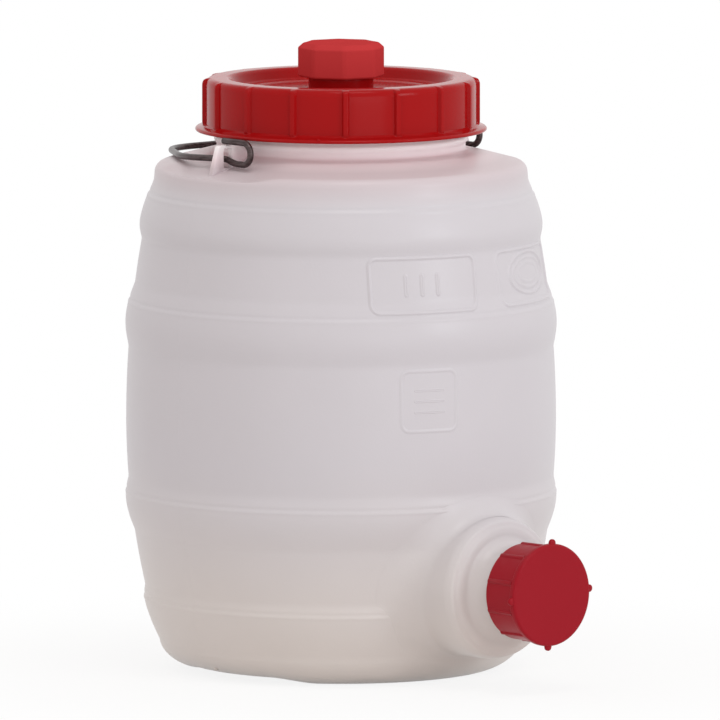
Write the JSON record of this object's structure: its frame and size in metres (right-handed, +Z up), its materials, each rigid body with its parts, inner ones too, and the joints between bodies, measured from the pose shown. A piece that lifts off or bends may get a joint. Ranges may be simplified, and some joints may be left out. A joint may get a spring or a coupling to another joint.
{
  "type": "drinks barrel",
  "caption": "Round translucent plastic drinks barrel with hoop-like bands, a wide red screw lid with a vent cap, a capped side outlet and a folding wire carrying bail.",
  "frame": {"origin": "middle of the bounding box's underside, on the floor plane of the standing ring", "axes": "+Z up along the barrel, -Y out along the side outlet, the bail's ears at +X and -X"},
  "size_m": [0.2396, 0.2948, 0.3481],
  "materials": {
    "natural_plastic": "satin milky translucent plastic",
    "lid_plastic": "glossy red plastic",
    "vent_cap_plastic": "satin red plastic",
    "tap_cap_plastic": "smooth crimson plastic",
    "seal_rubber": "matt pale rubber",
    "bail_steel": "drawn grey steel wire"
  },
  "bodies": {
    "barrel": {"barrel_front": "natural_plastic", "barrel_rear": "natural_plastic", "barrel_base": "natural_plastic", "barrel_neck": "natural_plastic", "outlet_boss": "natural_plastic", "spigot": "natural_plastic"},
    "lid_gasket": {"lid_gasket": "seal_rubber"},
    "screw_lid": {"screw_lid": "lid_plastic"},
    "vent_seal": {"vent_seal": "seal_rubber"},
    "vent_cap": {"vent_cap": "vent_cap_plastic"},
    "tap_seal": {"tap_seal": "seal_rubber"},
    "tap_cap": {"tap_cap": "tap_cap_plastic"},
    "bail_handle": {"bail_handle": "bail_steel"}
  },
  "joints": [
    {"name": "lid_lift", "type": "slide", "parent": "barrel", "child": "lid_gasket", "axis": [0, 0, 1], "range_m": [0, 0.0245]},
    {"name": "lid_turn", "type": "hinge", "parent": "lid_gasket", "child": "screw_lid", "pos_m": [0, 0.0277, 0.31], "axis": [0, 0, 1], "range_deg": [0, 720]},
    {"name": "vent_lift", "type": "slide", "parent": "screw_lid", "child": "vent_seal", "axis": [0, 0, 1], "range_m": [0, 0.014]},
    {"name": "vent_turn", "type": "hinge", "parent": "vent_seal", "child": "vent_cap", "pos_m": [0, 0.0277, 0.34], "axis": [0, 0, 1], "range_deg": [0, 810]},
    {"name": "tap_travel", "type": "slide", "parent": "barrel", "child": "tap_seal", "axis": [0, -1, 0], "range_m": [0, 0.0205]},
    {"name": "tap_turn", "type": "hinge", "parent": "tap_seal", "child": "tap_cap", "pos_m": [0, -0.135, 0.0555], "axis": [0, -1, 0], "range_deg": [0, 800]},
    {"name": "bail_swing", "type": "hinge", "parent": "barrel", "child": "bail_handle", "pos_m": [0, 0.0182, 0.30275], "axis": [1, 0, 0], "range_deg": [0, 90]}
  ],
  "couplings": [
    {"joint": "lid_lift", "follows": "lid_turn", "m_per_rad": 0.0019099},
    {"joint": "vent_lift", "follows": "vent_turn", "m_per_rad": 0.00095493},
    {"joint": "tap_travel", "follows": "tap_turn", "m_per_rad": 0.0014324}
  ]
}
